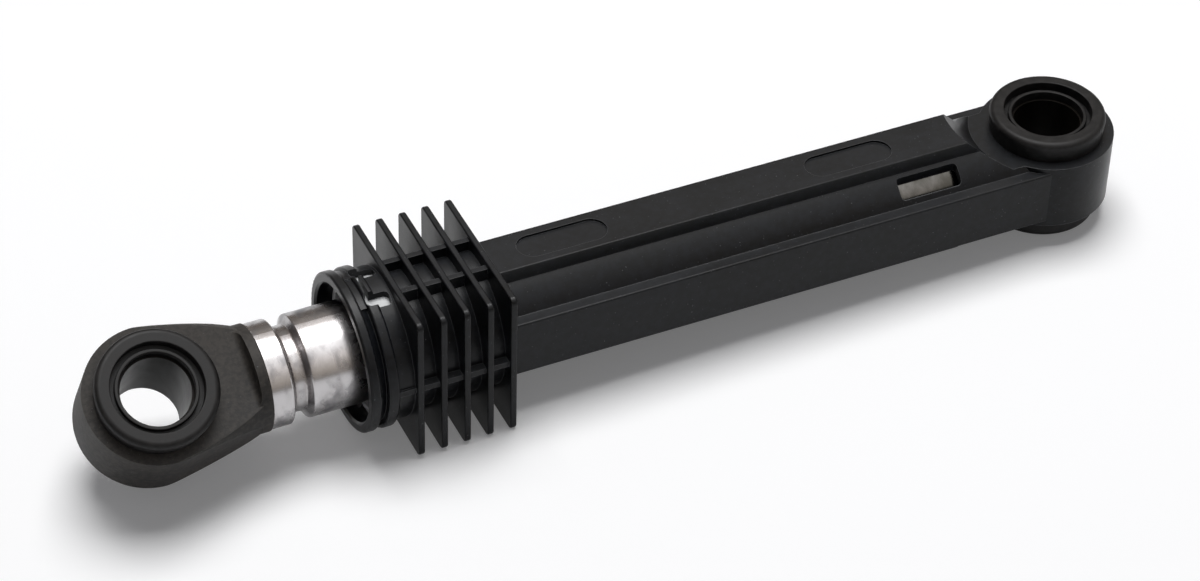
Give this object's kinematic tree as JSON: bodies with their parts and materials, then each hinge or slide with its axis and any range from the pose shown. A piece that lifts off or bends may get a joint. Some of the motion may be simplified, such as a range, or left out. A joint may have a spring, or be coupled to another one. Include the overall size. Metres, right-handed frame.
{
  "type": "washing machine shock absorber",
  "caption": "Friction damper for a washing machine drum: finned black housing with an eye, a sliding steel rod tube and a moulded rod eye, both eyes with rubber bushes.",
  "frame": {"origin": "centre of the housing eye's pin bore", "axes": "X along the rod, which draws out towards -X; +Z along the housing eye's pin bore; the damper is stored pushed in, with the rod eye turned 31.3 degrees from +Z towards -Y"},
  "size_m": [0.2115, 0.0318, 0.0318],
  "materials": {
    "housing_plastic": "satin glass-filled nylon",
    "eye_plastic": "dull glass-filled nylon",
    "bush_rubber": "smooth moulded",
    "sleeve_plastic": "smooth moulded",
    "retainer_plastic": "smooth moulded",
    "lining_felt": "greased felt",
    "rod_steel": "bright drawn"
  },
  "bodies": {
    "housing": {"housing": "housing_plastic", "housing_bush": "bush_rubber", "housing_sleeve": "sleeve_plastic", "lining_retainer": "retainer_plastic"},
    "lining": {"friction_lining": "lining_felt"},
    "rod": {"rod_tube": "rod_steel", "rod_eye": "eye_plastic", "rod_eye_bush": "bush_rubber", "rod_eye_sleeve": "sleeve_plastic"}
  },
  "joints": [
    {"name": "rod_turn", "type": "hinge", "parent": "housing", "child": "lining", "pos_m": [-0.13, 0, 0], "axis": [1, 0, 0], "continuous": true},
    {"name": "rod_slide", "type": "slide", "parent": "lining", "child": "rod", "axis": [-1, 0, 0], "range_m": [0, 0.08]}
  ]
}
